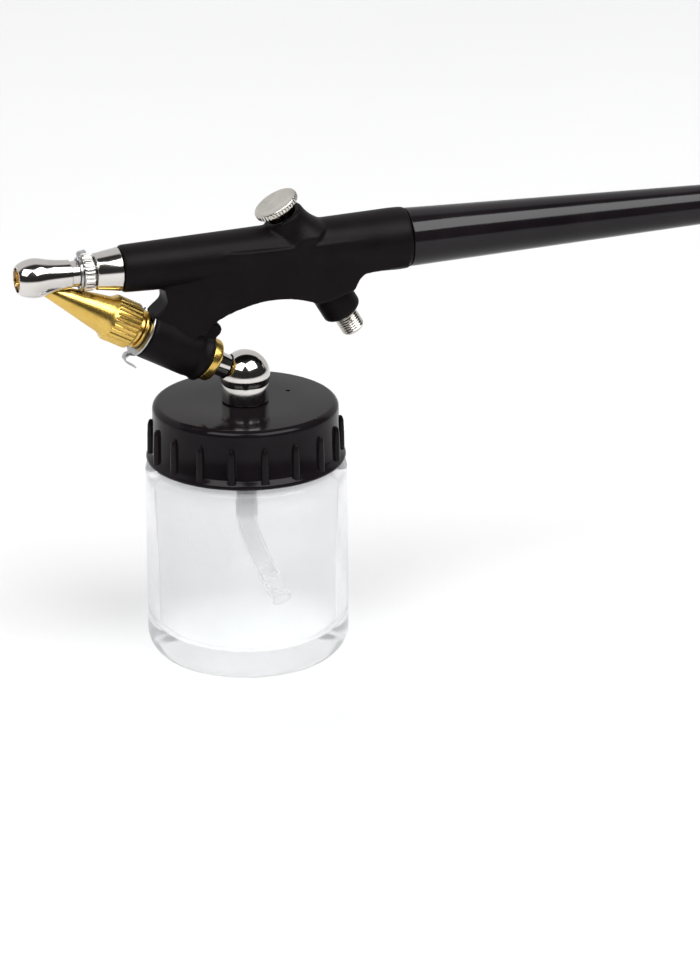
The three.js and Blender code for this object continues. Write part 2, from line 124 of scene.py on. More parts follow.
def cleanEdit():
    bpy.ops.mesh.select_all(action="SELECT")
    bpy.ops.mesh.remove_doubles(threshold=0.0005)
    bpy.ops.mesh.dissolve_degenerate(threshold=0.0005)
    bpy.ops.mesh.select_all(action="SELECT")
    bpy.ops.mesh.normals_make_consistent(inside=False)


def turnProfile(name, profile, steps=96, closed=False):
    # (radius, height) points spun about the local Z axis
    points = [(r, 0, z) for r, z in profile]
    if closed:
        points.append(points[0])
    obj = drawLine(name, points)
    bpy.ops.mesh.select_all(action="SELECT")
    bpy.ops.mesh.spin(steps=steps, angle=2 * math.pi, center=(0, 0, 0), axis=(0, 0, 1))
    cleanEdit()
    objectMode()
    return obj


def turnSleeve(name, outer, inner, steps=96):
    return turnProfile(name, list(outer) + list(inner), steps, closed=True)


def cutPlate(name, outline, halfWidth):
    # an outline in the XZ plane with the same thickness on both sides
    obj = drawLine(name, [(x, -halfWidth, z) for x, z in outline])
    bpy.ops.mesh.select_all(action="SELECT")
    bpy.ops.mesh.edge_face_add()
    bpy.ops.mesh.extrude_region_move(TRANSFORM_OT_translate={"value": (0, 2 * halfWidth, 0)})
    cleanEdit()
    objectMode()
    return obj


def placeIn(obj, matrix, unit=mm):
    pick(obj)
    obj.matrix_world = matrix @ Matrix.Diagonal((unit, unit, unit, 1))
    bpy.ops.object.transform_apply(location=True, rotation=True, scale=True)
    return obj


def applyAll(obj):
    pick(obj)
    for m in list(obj.modifiers):
        bpy.ops.object.modifier_apply(modifier=m.name)


def cut(obj, tool, operation="DIFFERENCE"):
    m = obj.modifiers.new("cut", "BOOLEAN")
    m.operation = operation
    m.solver = "EXACT"
    m.object = tool
    applyAll(obj)
    bpy.data.objects.remove(tool)
    return obj


def softenEdges(obj, width, segments=3, angle=28):
    m = obj.modifiers.new("edges", "BEVEL")
    m.width = width
    m.segments = segments
    m.limit_method = "ANGLE"
    m.angle_limit = math.radians(angle)
    m.use_clamp_overlap = True
    m.miter_outer = "MITER_ARC"
    applyAll(obj)
    return obj


def smooth(obj, angle=32):
    pick(obj)
    bpy.ops.object.shade_smooth_by_angle(angle=math.radians(angle))
    return obj


def curvePoints(points, perSpan=4):
    # a rounded run of (radius, height) points through the given ones
    out = []
    last = len(points) - 1
    for i in range(last):
        p0 = points[max(i - 1, 0)]
        p1, p2 = points[i], points[i + 1]
        p3 = points[min(i + 2, last)]
        for k in range(perSpan):
            t = k / perSpan
            out.append(tuple(
                0.5 * (2 * b + (c - a) * t + (2 * a - 5 * b + 4 * c - d) * t * t
                       + (3 * b - a - 3 * c + d) * t ** 3)
                for a, b, c, d in zip(p0, p1, p2, p3)))
    out.append(points[-1])
    return out


def arcPoints(centreR, centreZ, radius, start, end, steps):
    out = []
    for i in range(steps + 1):
        a = math.radians(start + (end - start) * i / steps)
        out.append((centreR + radius * math.cos(a), centreZ + radius * math.sin(a)))
    return out


def fluteRing(obj, teeth, steps, low, high, reach, depth, groove=1):
    # pulls the groove columns of a spun rim inwards
    perTooth = steps // teeth

    def inGroove(co):
        r = math.hypot(co.x, co.y)
        if r < reach or not (low <= co.z <= high):
            return False
        column = round(math.atan2(co.y, co.x) / (2 * math.pi) * steps) % perTooth
        return column < groove
    selectVerts(obj, inGroove)
    bpy.ops.transform.resize(value=(1 - depth, 1 - depth, 1), center_override=(0, 0, 0))
    objectMode()
    return obj


def finish(obj, material, body, slot, *replaced):
    obj.data.materials.clear()
    obj.data.materials.append(material)
    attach(obj, body)
    if replaced:
        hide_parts(*replaced)
    return obj


def newGroup(name, inputs, outputs):
    group = bpy.data.node_groups.new(name, "ShaderNodeTree")
    for label, kind, value in inputs:
        s = group.interface.new_socket(name=label, in_out="INPUT", socket_type=kind)
        s.default_value = value
    for label, kind in outputs:
        group.interface.new_socket(name=label, in_out="OUTPUT", socket_type=kind)
    return group, group.nodes.new("NodeGroupInput"), group.nodes.new("NodeGroupOutput")


def mathNode(tree, operation, a, b=None, clamp=False):
    n = tree.nodes.new("ShaderNodeMath")
    n.operation = operation
    n.use_clamp = clamp
    for i, value in enumerate((a, b)):
        if value is None:
            continue
        if hasattr(value, "is_linked"):
            tree.links.new(value, n.inputs[i])
        else:
            n.inputs[i].default_value = value
    return n.outputs[0]


def spread(tree, value, low, high, toLow=0.0, toHigh=1.0):
    n = tree.nodes.new("ShaderNodeMapRange")
    n.clamp = True
    tree.links.new(value, n.inputs["Value"])
    for label, v in (("From Min", low), ("From Max", high), ("To Min", toLow), ("To Max", toHigh)):
        if hasattr(v, "is_linked"):
            tree.links.new(v, n.inputs[label])
        else:
            n.inputs[label].default_value = v
    return n.outputs["Result"]


def noiseNode(tree, scale, detail, roughness=0.55, vector=None):
    n = tree.nodes.new("ShaderNodeTexNoise")
    for label, v in (("Scale", scale), ("Detail", detail), ("Roughness", roughness)):
        if hasattr(v, "is_linked"):
            tree.links.new(v, n.inputs[label])
        else:
            n.inputs[label].default_value = v
    if vector is None:
        vector = tree.nodes.new("ShaderNodeTexCoord").outputs["Object"]
    tree.links.new(vector, n.inputs["Vector"])
    return n.outputs["Fac"]


def buildGrain():
    # fine surface grain with slow, cloudy variation under it
    group, gin, gout = newGroup(
        "surfaceGrain",
        [("Fine Scale", "NodeSocketFloat", 3000), ("Cloud Scale", "NodeSocketFloat", 120)],
        [("Grain", "NodeSocketFloat"), ("Cloud", "NodeSocketFloat")])
    fine = noiseNode(group, gin.outputs["Fine Scale"], 3.0)
    cloud = noiseNode(group, gin.outputs["Cloud Scale"], 4.0)
    group.links.new(spread(group, fine, 0.3, 0.7), gout.inputs["Grain"])
    group.links.new(spread(group, cloud, 0.32, 0.68), gout.inputs["Cloud"])
    return group


def buildTurning():
    # fine rings left by the lathe, square to the given axis
    group, gin, gout = newGroup(
        "latheRings",
        [("Axis", "NodeSocketVector", (0, 0, 1)), ("Rings", "NodeSocketFloat", 5000)],
        [("Height", "NodeSocketFloat")])
    coord = group.nodes.new("ShaderNodeTexCoord")
    dot = group.nodes.new("ShaderNodeVectorMath")
    dot.operation = "DOT_PRODUCT"
    group.links.new(coord.outputs["Object"], dot.inputs[0])
    group.links.new(gin.outputs["Axis"], dot.inputs[1])
    along = mathNode(group, "MULTIPLY", dot.outputs["Value"], gin.outputs["Rings"])
    noise = group.nodes.new("ShaderNodeTexNoise")
    noise.noise_dimensions = "1D"
    noise.inputs["Scale"].default_value = 1.0
    noise.inputs["Detail"].default_value = 2.0
    group.links.new(along, noise.inputs["W"])
    group.links.new(noise.outputs["Fac"], gout.inputs["Height"])
    return group


def buildWear():
    # brighter or rubbed edges, broken up by noise
    group, gin, gout = newGroup(
        "edgeWear",
        [("Start", "NodeSocketFloat", 0.52), ("Full", "NodeSocketFloat", 0.6),
         ("Break Scale", "NodeSocketFloat", 900), ("Amount", "NodeSocketFloat", 0.5)],
        [("Mask", "NodeSocketFloat")])
    geometry = group.nodes.new("ShaderNodeNewGeometry")
    edge = spread(group, geometry.outputs["Pointiness"], gin.outputs["Start"], gin.outputs["Full"])
    broken = spread(group, noiseNode(group, gin.outputs["Break Scale"], 3.0), 0.42, 0.6)
    mask = mathNode(group, "MULTIPLY", edge, broken)
    mask = mathNode(group, "MULTIPLY", mask, gin.outputs["Amount"], clamp=True)
    group.links.new(mask, gout.inputs["Mask"])
    return group


def buildDust():
    # sparse specks and faint smears that roughen a glossy surface
    group, gin, gout = newGroup(
        "handlingMarks",
        [("Speck Scale", "NodeSocketFloat", 1500), ("Smear Scale", "NodeSocketFloat", 60)],
        [("Specks", "NodeSocketFloat"), ("Smears", "NodeSocketFloat")])
    specks = spread(group, noiseNode(group, gin.outputs["Speck Scale"], 1.0), 0.7, 0.78)
    coord = group.nodes.new("ShaderNodeTexCoord")
    mapping = group.nodes.new("ShaderNodeMapping")
    mapping.inputs["Scale"].default_value = (0.35, 1.0, 1.6)
    mapping.inputs["Rotation"].default_value = (0.3, 0.5, 0.2)
    group.links.new(coord.outputs["Object"], mapping.inputs["Vector"])
    smears = noiseNode(group, gin.outputs["Smear Scale"], 5.0, 0.6, mapping.outputs["Vector"])
    group.links.new(specks, gout.inputs["Specks"])
    group.links.new(spread(group, smears, 0.4, 0.72), gout.inputs["Smears"])
    return group


grainGroup = buildGrain()
turningGroup = buildTurning()
wearGroup = buildWear()
marksGroup = buildDust()


def useGroup(tree, group, **values):
    n = tree.nodes.new("ShaderNodeGroup")
    n.node_tree = group
    for label, value in values.items():
        n.inputs[label.replace("_", " ")].default_value = value
    return n


def mixColour(tree, factor, a, b):
    n = tree.nodes.new("ShaderNodeMix")
    n.data_type = "RGBA"
    tree.links.new(factor, n.inputs["Factor"])
    for label, value in ((6, a), (7, b)):
        if hasattr(value, "is_linked"):
            tree.links.new(value, n.inputs[label])
        else:
            n.inputs[label].default_value = (*value, 1)
    return n.outputs[2]


def makeFinish(name, look):
    material = bpy.data.materials.new(name)
    material.use_nodes = True
    tree = material.node_tree
    shader = tree.nodes["Principled BSDF"]
    grain = useGroup(tree, grainGroup, Fine_Scale=look["fineScale"], Cloud_Scale=look["cloudScale"])
    marks = useGroup(tree, marksGroup, Speck_Scale=look.get("speckScale", 1500),
                     Smear_Scale=look.get("smearScale", 60))
    colour = mixColour(tree, grain.outputs["Cloud"], look["colour"], look["shade"])
    if "wear" in look:
        wear = useGroup(tree, wearGroup, **look["wear"])
        colour = mixColour(tree, wear.outputs["Mask"], colour, look["wearColour"])
    tree.links.new(colour, shader.inputs["Base Color"])
    low, high = look["roughness"]
    rough = spread(tree, marks.outputs["Smears"], 0.0, 1.0, low, high)
    rough = mathNode(tree, "ADD", rough, mathNode(tree, "MULTIPLY", marks.outputs["Specks"],
                                                  look.get("speckRoughness", 0.05)), clamp=True)
    tree.links.new(rough, shader.inputs["Roughness"])
    bump = tree.nodes.new("ShaderNodeBump")
    bump.inputs["Distance"].default_value = look["bumpDepth"]
    bump.inputs["Strength"].default_value = look.get("bumpStrength", 1.0)
    height = grain.outputs["Grain"]
    if "axis" in look:
        rings = useGroup(tree, turningGroup, Axis=look["axis"], Rings=look.get("rings", 5000))
        soft = mathNode(tree, "MULTIPLY", height, 0.35)
        height = mathNode(tree, "ADD", soft, rings.outputs["Height"])
    tree.links.new(height, bump.inputs["Height"])
    tree.links.new(bump.outputs["Normal"], shader.inputs["Normal"])
    for label, value in look.get("sockets", {}).items():
        shader.inputs[label].default_value = value
    if look.get("lampsPass"):
        # light reaches what is behind the glass
        clear = tree.nodes.new("ShaderNodeBsdfTransparent")
        clear.inputs["Color"].default_value = (0.93, 0.94, 0.94, 1)
        path = tree.nodes.new("ShaderNodeLightPath")
        mix = tree.nodes.new("ShaderNodeMixShader")
        tree.links.new(path.outputs["Is Shadow Ray"], mix.inputs["Fac"])
        tree.links.new(shader.outputs["BSDF"], mix.inputs[1])
        tree.links.new(clear.outputs["BSDF"], mix.inputs[2])
        tree.links.new(mix.outputs["Shader"], tree.nodes["Material Output"].inputs["Surface"])
    return material


chromeLook = {
    "colour": (0.66, 0.635, 0.61), "shade": (0.58, 0.555, 0.53),
    "roughness": (0.10, 0.17), "fineScale": 2600, "cloudScale": 160,
    "bumpDepth": 0.0000008, "sockets": {"Metallic": 1.0},
}
nickelLook = {
    "colour": (0.66, 0.63, 0.58), "shade": (0.52, 0.50, 0.46),
    "roughness": (0.16, 0.28), "fineScale": 3600, "cloudScale": 260,
    "wear": {"Start": 0.53, "Full": 0.62, "Break_Scale": 1200, "Amount": 0.6},
    "wearColour": (0.82, 0.80, 0.76), "bumpDepth": 0.000003, "sockets": {"Metallic": 1.0},
}
brassLook = {
    "colour": (0.70, 0.48, 0.13), "shade": (0.57, 0.37, 0.08),
    "roughness": (0.24, 0.36), "fineScale": 3200, "cloudScale": 220,
    "wear": {"Start": 0.53, "Full": 0.62, "Break_Scale": 1400, "Amount": 0.5},
    "wearColour": (0.93, 0.78, 0.45), "bumpDepth": 0.000003, "sockets": {"Metallic": 1.0},
}
steelLook = {
    "colour": (0.46, 0.46, 0.47), "shade": (0.33, 0.33, 0.34),
    "roughness": (0.26, 0.4), "fineScale": 4200, "cloudScale": 300,
    "wear": {"Start": 0.53, "Full": 0.62, "Break_Scale": 1600, "Amount": 0.6},
    "wearColour": (0.85, 0.85, 0.85), "bumpDepth": 0.000004, "sockets": {"Metallic": 1.0},
}
castBlackLook = {
    "colour": (0.0036, 0.0026, 0.0032), "shade": (0.0056, 0.0042, 0.0050),
    "roughness": (0.42, 0.56), "fineScale": 2400, "cloudScale": 140,
    "bumpDepth": 0.000012,
    "sockets": {"Metallic": 0.0, "Specular IOR Level": 0.07},
}
glossBlackLook = {
    "colour": (0.0050, 0.0038, 0.0048), "shade": (0.0085, 0.0066, 0.0078),
    "roughness": (0.10, 0.17), "fineScale": 1800, "cloudScale": 90,
    "bumpDepth": 0.000003, "speckRoughness": 0.1,
    "sockets": {"Metallic": 0.0, "Specular IOR Level": 0.09},
}
handleLook = dict(glossBlackLook, sockets={"Metallic": 0.0, "Specular IOR Level": 0.23})
rubberLook = {
    "colour": (0.02, 0.02, 0.02), "shade": (0.035, 0.033, 0.032),
    "roughness": (0.6, 0.8), "fineScale": 3000, "cloudScale": 200,
    "bumpDepth": 0.00002, "sockets": {"Metallic": 0.0},
}
linerLook = {
    "colour": (0.80, 0.79, 0.76), "shade": (0.70, 0.69, 0.66),
    "roughness": (0.55, 0.75), "fineScale": 2600, "cloudScale": 150,
    "bumpDepth": 0.00003, "sockets": {"Metallic": 0.0},
}
clearTubeLook = {
    "colour": (0.90, 0.91, 0.905), "shade": (0.84, 0.85, 0.845),
    "roughness": (0.2, 0.36), "fineScale": 1600, "cloudScale": 110,
    "bumpDepth": 0.000004, "lampsPass": True,
    "sockets": {"Metallic": 0.0, "Transmission Weight": 0.85, "IOR": 1.12},
}
glassLook = {
    "colour": (0.885, 0.887, 0.893), "shade": (0.855, 0.857, 0.863),
    "roughness": (0.02, 0.07), "fineScale": 300, "cloudScale": 70,
    "bumpDepth": 0.00001, "bumpStrength": 0.4, "speckRoughness": 0.02, "lampsPass": True,
    "sockets": {"Metallic": 0.0, "Transmission Weight": 0.84, "IOR": 1.16},
}


def withAxis(look, axis, rings=5000):
    changed = dict(look)
    changed["axis"] = axis
    changed["rings"] = rings
    return changed


chromeBarrel = makeFinish("chromeBarrel", withAxis(chromeLook, (1, 0, 0)))
chromeUpright = makeFinish("chromeUpright", withAxis(chromeLook, (0, 0, 1)))
chromeArm = makeFinish("chromeArm", withAxis(chromeLook, paintAxis))
brassPaint = makeFinish("brassPaint", withAxis(brassLook, paintAxis))
brassBarrel = makeFinish("brassBarrel", withAxis(brassLook, (1, 0, 0)))
brassValve = makeFinish("brassValve", withAxis(brassLook, valveAxis))
nickelValve = makeFinish("nickelValve", withAxis(nickelLook, valveAxis))
nickelPlain = makeFinish("nickelPlain", nickelLook)
springSteel = makeFinish("springSteel", steelLook)
castBlack = makeFinish("castBlack", castBlackLook)
glossBlack = makeFinish("glossBlack", glossBlackLook)
handleBlack = makeFinish("handleBlack", withAxis(handleLook, (1, 0, 0), 900))
sealRubber = makeFinish("sealRubber", rubberLook)
foamLiner = makeFinish("foamLiner", linerLook)
clearTube = makeFinish("clearTube", clearTubeLook)
jarGlass = makeFinish("jarGlass", glassLook)
print("finishes made")


cameraSettings = {
    "azimuth": -18.0, "elevation": 21.0, "roll": 0.4,
    "distance": 1.1, "lens": 219.3, "aim": (0.01992, 0.0, 0.0288),
}


def makeCamera(s):
    a, e, r = (math.radians(s[k]) for k in ("azimuth", "elevation", "roll"))
    back = Vector((math.sin(a) * math.cos(e), -math.cos(a) * math.cos(e), math.sin(e)))
    level = Vector((math.cos(a), math.sin(a), 0))
    rise = back.cross(level)
    right = math.cos(r) * level - math.sin(r) * rise
    up = math.sin(r) * level + math.cos(r) * rise
    data = bpy.data.cameras.new("camera")
    data.sensor_fit = "VERTICAL"
    data.sensor_height = 36
    data.lens = s["lens"]
    data.clip_start = 0.01
    data.clip_end = 50
    camera = bpy.data.objects.new("camera", data)
    bpy.context.scene.collection.objects.link(camera)
    place = Matrix((right, up, back)).transposed().to_4x4()
    camera.matrix_world = Matrix.Translation(Vector(s["aim"]) + back * s["distance"]) @ place
    bpy.context.scene.camera = camera


makeCamera(cameraSettings)


bodySettings = {
    "front": -23.2, "rear": 30.8, "frontRadius": 4.3, "rearRadius": 5.7,
    "panelHalfWidth": 5.16, "webHalfWidth": 3.0, "lugHalfWidth": 2.4,
    "archRadius": 20.0, "archX": 4.5, "archTop": -7.55,
    "housingRear": 8.9, "housingFront": 21.6, "housingRadius": 4.65,
    "bossRadius": 3.65, "upperBossTop": 8.0, "lowerBossEnd": -14.9,
    "voxel": 0.26, "smoothing": 10,
}


def localFrame(matrix):
    # the piece's axis in millimetres from the barrel's own origin
    out = matrix.copy()
    out.translation = (matrix.translation - Vector((0, 0, barrelZ))) / mm
    return out


def addBody(s):
    rear, front = s["rear"], s["front"]
    taperEnd = rear - 2.2
    slope = (s["rearRadius"] - s["frontRadius"]) / (taperEnd - front)
    barrel = turnProfile("body", [
        (0, front), (s["frontRadius"] - 0.35, front),
        (s["frontRadius"] + 0.35 * slope, front + 0.35),
        (s["rearRadius"], taperEnd), (s["rearRadius"] - 0.04, rear - 0.8),
        (s["rearRadius"] - 0.12, rear), (0, rear)], 128)
    placeIn(barrel, localFrame(barrelFrame), 1)

    web = cutPlate("web", [
        (-12, -3.2), (-15.2, -3.75), (-15.5, -4.3), (-15.3, -5.3), (-15.05, -6.4), (-15.4, -7.2),
        (-17.6, -9.1), (-17.0, -10.6), (-13, -14), (-9, -15.5), (-8.2, -12), (-2, -6)],
        s["webHalfWidth"])
    arch = []
    for i in range(28):
        a = math.radians(126 - i * 2.2)
        arch.append((s["archX"] + s["archRadius"] * math.cos(a),
                     s["archTop"] - s["archRadius"] + s["archRadius"] * math.sin(a)))
    panel = cutPlate("panel", [
        (-14.5, -3.4), (-13.4, -13.6), (-8.6, -13.4), *arch,
        (14.5, -9.0), (19.6, -7.4), (20.6, -5.4), (21.6, -4.5), (30, -3.9), (30, 2.0), (-4, 2.2)],
        s["panelHalfWidth"])
    # the panels thin down towards the web
    wedge = drawLine("wedge", [(-15, -s["webHalfWidth"], -20), (-1, -s["panelHalfWidth"], -20),
                               (31, -s["panelHalfWidth"], -20), (31, s["panelHalfWidth"], -20),
                               (-1, s["panelHalfWidth"], -20), (-15, s["webHalfWidth"], -20)])
    bpy.ops.mesh.select_all(action="SELECT")
    bpy.ops.mesh.edge_face_add()
    bpy.ops.mesh.extrude_region_move(TRANSFORM_OT_translate={"value": (0, 0, 30)})
    cleanEdit()
    objectMode()
    cut(panel, wedge, "INTERSECT")
    lug = cutPlate("lug", [
        *arcPoints(-6.3, -12.9, 1.4, 130, -80, 12), (-7.5, -16.5), (-11, -15.5), (-10, -12.4)],
        s["lugHalfWidth"])
    radius = s["housingRadius"]
    back, ahead = s["housingRear"], s["housingFront"]
    housing = turnProfile("housing", [
        (0, back), (radius - 0.45, back), *arcPoints(radius - 0.35, back + 0.65, 0.55, -60, 60, 5),
        (radius - 0.1, back + 1.75), (radius - 0.2, back + 2.1), (radius, back + 2.6),
        (radius, ahead - 0.25), (radius - 0.25, ahead), (0, ahead)], 96)
    placeIn(housing, localFrame(paintFrame), 1)
    upper = turnProfile("upperBoss", [
        (0, 0), (6.0, 2.2),
        *curvePoints([(5.6, 2.8), (4.85, 4.0), (4.25, 5.3), (3.9, 6.6), (3.78, 7.6)], 4),
        (3.65, s["upperBossTop"]), (0, s["upperBossTop"])], 96)
    placeIn(upper, localFrame(valveFrame), 1)
    low = s["lowerBossEnd"]
    lower = turnProfile("lowerBoss", [
        (0, low), (s["bossRadius"] - 0.9, low),
        *arcPoints(s["bossRadius"] - 0.8, low + 0.8, 0.8, -70, 0, 5),
        (s["bossRadius"], low + 4.6), (s["bossRadius"] + 0.6, low + 6.2), (0, 0)], 96)
    placeIn(lower, localFrame(valveFrame), 1)
    slab = cutPlate("slab", [(-9, -30), (35, -30), (35, 20), (-9, 20)], s["panelHalfWidth"])
    lowerSlab = slab.copy()
    lowerSlab.data = slab.data.copy()
    bpy.context.scene.collection.objects.link(lowerSlab)
    cut(upper, slab, "INTERSECT")
    cut(lower, lowerSlab, "INTERSECT")

    for tool in (panel, web, lug, housing, upper, lower):
        cut(barrel, tool, "UNION")
    bores = [
        (1.3, -18, 11.4, barrelFrame), (3.2, front - 1, -17.3, barrelFrame),
        (3.3, 22.6, rear + 1, barrelFrame), (3.3, back - 1, 13.0, paintFrame),
        (2.6, 12, ahead + 1, paintFrame), (1.3, -4, 5, valveFrame),
        (2.6, 3.1, s["upperBossTop"] + 1, valveFrame), (2.55, low - 1, -3.1, valveFrame)]
    for radius, start, end, axis in bores:
        bore = turnProfile("bore", [(0, start), (radius, start), (radius, end), (0, end)], 48)
        cut(barrel, placeIn(bore, localFrame(axis), 1))

    remesh = barrel.modifiers.new("cast", "REMESH")
    remesh.mode = "VOXEL"
    remesh.voxel_size = s["voxel"]
    soften = barrel.modifiers.new("soften", "SMOOTH")
    soften.factor = 0.5
    soften.iterations = s["smoothing"]
    applyAll(barrel)
    placeIn(barrel, Matrix.Translation((0, 0, barrelZ)))
    pick(barrel)
    bpy.ops.object.shade_smooth()
    barrel.name = "castBody"
    return finish(barrel, castBlack, "gun", "body_black", "body")


addBody(bodySettings)
print("body cast")

noseSettings = {"front": -28.1, "rim": -23.5, "edge": 0.1}


def addNoseCone(s):
    f, r = s["front"], s["rim"]
    obj = turnSleeve("noseCone", [
        (3.0, f), (3.3, f + 0.2), (3.98, r), (3.8, r + 0.2), (2.9, r + 0.2), (2.9, -17.6)],
        [(1.4, -17.6), (1.4, -20.3), (2.65, -20.3), (2.65, f)])
    softenEdges(obj, s["edge"])
    smooth(placeIn(obj, barrelFrame))
    return finish(obj, chromeBarrel, "gun", "chrome", "nose_cone")


lockRingSettings = {
    "front": -30.4, "rear": -28.4, "radius": 3.3, "bore": 2.65, "chamfer": 0.25,
    "teeth": 26, "depth": 0.06,
}


def addLockRing(s):
    f, r, wide, c = s["front"], s["rear"], s["radius"], s["chamfer"]
    steps = s["teeth"] * 6
    obj = turnSleeve("lockRing", [
        (wide - c, f), (wide, f + c), (wide, r - c), (wide - c, r)],
        [(s["bore"], r), (s["bore"], f)], steps)
    fluteRing(obj, s["teeth"], steps, f + 0.1, r - 0.1, wide - 0.1, s["depth"], 2)
    softenEdges(obj, 0.05, 2)
    smooth(placeIn(obj, barrelFrame))
    return finish(obj, chromeBarrel, "lock_ring", "chrome", "lock_ring")


washerSettings = {"front": -31.0, "rear": -30.65, "radius": 3.0, "bore": 2.65, "tabHalfWidth": 0.6}


def addTabWasher(s):
    f, r = s["front"], s["rear"]
    obj = turnSleeve("tabWasher", [(s["radius"], f), (s["radius"], r)],
                     [(s["bore"], r), (s["bore"], f)])
    hook = [(r, 2.8), (f, 2.8), (f - 0.15, 3.5), (f + 0.05, 3.86), (r, 4.05), (r + 1.1, 4.15),
            (r + 1.1, 3.9), (r + 0.2, 3.8), (r - 0.05, 3.64), (r - 0.15, 3.4)]
    tab = cutPlate("tab", [(-z, x) for x, z in hook], s["tabHalfWidth"])
    cut(obj, tab, "UNION")
    softenEdges(obj, 0.05, 2)
    smooth(placeIn(obj, barrelFrame))
    return finish(obj, springSteel, "gun", "spring_steel", "tab_washer")


hornSettings = {"mouth": -42.35, "lip": 0.07}


def coneTool():
    # the room that the paint cone needs, in the barrel's frame and in millimetres
    tool = turnProfile("coneTool", [(0, 33), (3.5, 33), (0.95, 45.9), (0.95, 47.0), (0, 47.0)], 64)
    relative = barrelFrame.inverted() @ paintFrame
    relative.translation = relative.translation / mm
    return placeIn(tool, relative, 1)


def addAirHorn(s):
    m = s["mouth"]
    outer = curvePoints([
        (2.5, m), (2.95, m + 0.6), (3.35, m + 1.6), (3.6, m + 3.0), (3.5, m + 4.2), (3.12, m + 5.9),
        (2.86, m + 7.4), (2.7, m + 8.9), (2.65, m + 9.7)], 5)
    inner = [(1.5, -21.0), (1.5, -36.0),
             *curvePoints([(1.6, -36.2), (2.0, -36.9), (2.2, -38.2), (2.25, m)], 3)]
    obj = turnSleeve("airHorn", outer + [(2.35, m + 9.9), (2.35, -21.0)], inner, 128)
    cut(obj, coneTool())
    softenEdges(obj, s["lip"], 2, 35)
    smooth(placeIn(obj, barrelFrame), 40)
    return finish(obj, chromeBarrel, "gun", "chrome", "air_horn")


nozzleSettings = {"front": -42.0, "rear": -37.1, "radius": 1.95}


def addAirNozzle(s):
    f, r = s["front"], s["rear"]
    obj = turnSleeve("airNozzle", [(s["radius"], f), (s["radius"], r)],
                     [(1.2, r), (1.35, r - 1.6), (1.75, f)])
    cut(obj, coneTool())
    softenEdges(obj, 0.05, 2, 35)
    smooth(placeIn(obj, barrelFrame), 40)
    return finish(obj, brassBarrel, "gun", "brass", "air_nozzle")


addNoseCone(noseSettings)
addLockRing(lockRingSettings)
addTabWasher(washerSettings)
addAirHorn(hornSettings)
addAirNozzle(nozzleSettings)
print("air horn and nose done")

bushSettings = {"flange": (6.8, 8.7), "radius": 4.0, "bore": 2.4}


def addRearBush(s):
    low, high = s["flange"]
    wide = s["radius"]
    obj = turnSleeve("rearBush", [
        *arcPoints(wide - 0.62, low + 0.62, 0.62, -75, 10, 6), (wide, high - 0.1),
        (wide - 0.1, high),
        (3.0, high), (3.0, 11.0)], [(s["bore"], 11.0), (s["bore"], low + 0.1)])
    softenEdges(obj, 0.06, 2)
    smooth(placeIn(obj, paintFrame))
    return finish(obj, brassPaint, "gun", "brass", "rear_bush")


armSettings = {"radius": 2.2, "bore": 1.3, "start": 2.7, "end": 13.2}


def addArmTube(s):
    obj = turnSleeve("armTube", [(s["radius"], s["start"]), (s["radius"], s["end"])],
                     [(s["bore"], s["end"]), (s["bore"], s["start"])])
    softenEdges(obj, 0.1, 2)
    smooth(placeIn(obj, paintFrame))
    return finish(obj, chromeArm, "siphon", "chrome", "arm_tube")


carrierSettings = {"collar": (22.45, 23.0, 3.6), "step": (23.7, 2.9), "steps": 96}


def addTipCarrier(s):
    low, high, wide = s["collar"]
    end, narrow = s["step"]
    obj = turnSleeve("tipCarrier", [
        (2.3, 13.6), (2.3, low), (wide, low), (wide, high), (narrow, high + 0.1), (narrow, end),
        (2.2, end), (2.2, 26.5)],
        [(1.35, 26.5), (1.35, 13.6)], s["steps"])
    softenEdges(obj, 0.07, 2)
    smooth(placeIn(obj, paintFrame))
    return finish(obj, brassPaint, "gun", "brass", "tip_carrier")


clipSettings = {"low": 21.9, "high": 22.2, "radius": 4.95, "bore": 2.8, "tabHalfWidth": 0.8}


def addClipRing(s):
    low, high = s["low"], s["high"]
    obj = turnSleeve("clipRing", [(s["radius"], low), (s["radius"], high)],
                     [(s["bore"], high), (s["bore"], low)])
    room = cutPlate("room", [(2.4, 21), (8, 21), (8, 23), (2.4, 23)], 3.4)
    cut(obj, room)
    hook = [(-4.5, 21.9), (-4.5, 22.2), (-4.8, 22.7), (-5.2, 22.95), (-5.6, 23.0), (-6.0, 22.95),
            (-6.3, 22.7), (-6.5, 22.2), (-6.6, 21.6), (-6.75, 20.0), (-6.5, 20.0), (-6.35, 21.6),
            (-6.25, 22.1), (-6.1, 22.4), (-5.85, 22.58), (-5.6, 22.6), (-5.1, 22.3), (-4.85, 21.9)]
    tab = cutPlate("hook", hook, s["tabHalfWidth"])
    cut(obj, tab, "UNION")
    softenEdges(obj, 0.06, 2)
    smooth(placeIn(obj, paintFrame))
    return finish(obj, springSteel, "gun", "spring_steel", "clip_ring")


coneSettings = {
    "rear": 24.0, "knurlEnd": 29.0, "radius": 4.3, "teeth": 28, "depth": 0.06, "tip": 45.6,
}


def addPaintCone(s):
    rear, end, wide = s["rear"], s["knurlEnd"], s["radius"]
    steps = s["teeth"] * 6
    outer = [
        (2.5, rear), (wide - 0.5, rear), (wide - 0.12, rear + 0.3), (wide, rear + 0.45),
        (wide, end - 0.1),
        (wide - 0.2, end + 0.15), (wide - 0.35, end + 0.35), (3.5, end + 1.1),
        (0.66, s["tip"] - 0.35), (0.5, s["tip"])]
    inner = [(0.33, s["tip"]), (0.33, 44.4), (1.8, 29.5), (2.5, 27.5)]
    obj = turnSleeve("paintCone", outer, inner, steps)
    fluteRing(obj, s["teeth"], steps, rear + 0.2, end, wide - 0.15, s["depth"], 2)
    softenEdges(obj, 0.05, 2)
    smooth(placeIn(obj, paintFrame))
    return finish(obj, brassPaint, "paint_cone", "brass", "paint_cone")


